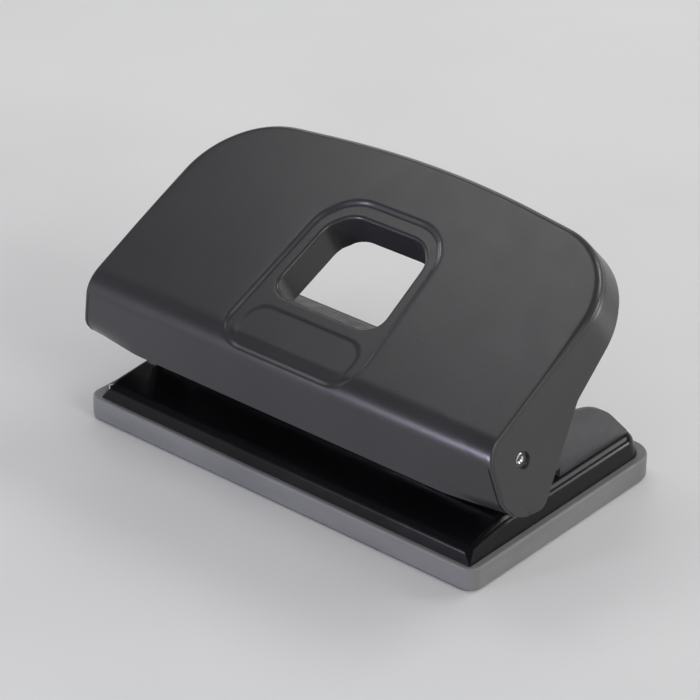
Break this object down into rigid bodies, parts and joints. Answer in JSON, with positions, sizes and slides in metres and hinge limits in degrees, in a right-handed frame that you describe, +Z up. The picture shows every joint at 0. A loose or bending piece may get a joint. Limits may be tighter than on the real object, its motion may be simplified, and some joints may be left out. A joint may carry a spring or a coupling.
{
  "type": "hole punch",
  "caption": "Small desk hole punch: a sloping pressed steel lever with a window, hinged on a folded frame over a ramped base plate and a shallow chip tray.",
  "frame": {"origin": "middle of the face the punch stands on", "axes": "+X along the punch to its right end, +Y to the back, away from the front bend, +Z up"},
  "size_m": [0.1134, 0.059, 0.0555],
  "materials": {
    "tray_plastic": "matte, fine grain",
    "gloss_black_paint": "gloss",
    "dark_paint": "satin",
    "powder_coat": "satin, fine sparkle",
    "plated_steel": "zinc plated",
    "bright_steel": "ground and polished",
    "spring_steel": "drawn wire"
  },
  "bodies": {
    "tray": {"chip_tray": "tray_plastic"},
    "base": {"base_plate": "gloss_black_paint", "punch_frame": "dark_paint", "lower_guide": "plated_steel", "die_strip": "plated_steel", "frame_rivets": "plated_steel", "pivot_shaft": "bright_steel", "left_shaft_washer": "plated_steel", "left_shaft_clip": "spring_steel", "left_spring": "spring_steel", "right_shaft_washer": "plated_steel", "right_shaft_clip": "spring_steel", "right_spring": "spring_steel"},
    "handle": {"handle_shell": "powder_coat", "left_lever": "plated_steel", "right_lever": "plated_steel"},
    "left_cutter": {"left_punch": "bright_steel", "left_spring_seat": "plated_steel", "left_circlip": "spring_steel"},
    "right_cutter": {"right_punch": "bright_steel", "right_spring_seat": "plated_steel", "right_circlip": "spring_steel"}
  },
  "joints": [
    {"name": "base_lift", "type": "slide", "parent": "tray", "child": "base", "axis": [0, 0, 1], "range_m": [0, 0.015]},
    {"name": "handle_hinge", "type": "hinge", "parent": "base", "child": "handle", "pos_m": [0, -0.01995, 0.0267], "axis": [-1, 0, 0], "range_deg": [0, 22], "stiffness_Nm_per_rad": 0.6, "springref_deg": -14.32},
    {"name": "left_punch_slide", "type": "slide", "parent": "base", "child": "left_cutter", "axis": [0, 0, -1], "range_m": [0, 0.0039], "deforming": ["left_spring"]},
    {"name": "right_punch_slide", "type": "slide", "parent": "base", "child": "right_cutter", "axis": [0, 0, -1], "range_m": [0, 0.0039], "deforming": ["right_spring"]}
  ],
  "couplings": [
    {"joint": "left_punch_slide", "follows": "handle_hinge", "m_per_rad": 0.0101},
    {"joint": "right_punch_slide", "follows": "handle_hinge", "m_per_rad": 0.0101}
  ]
}
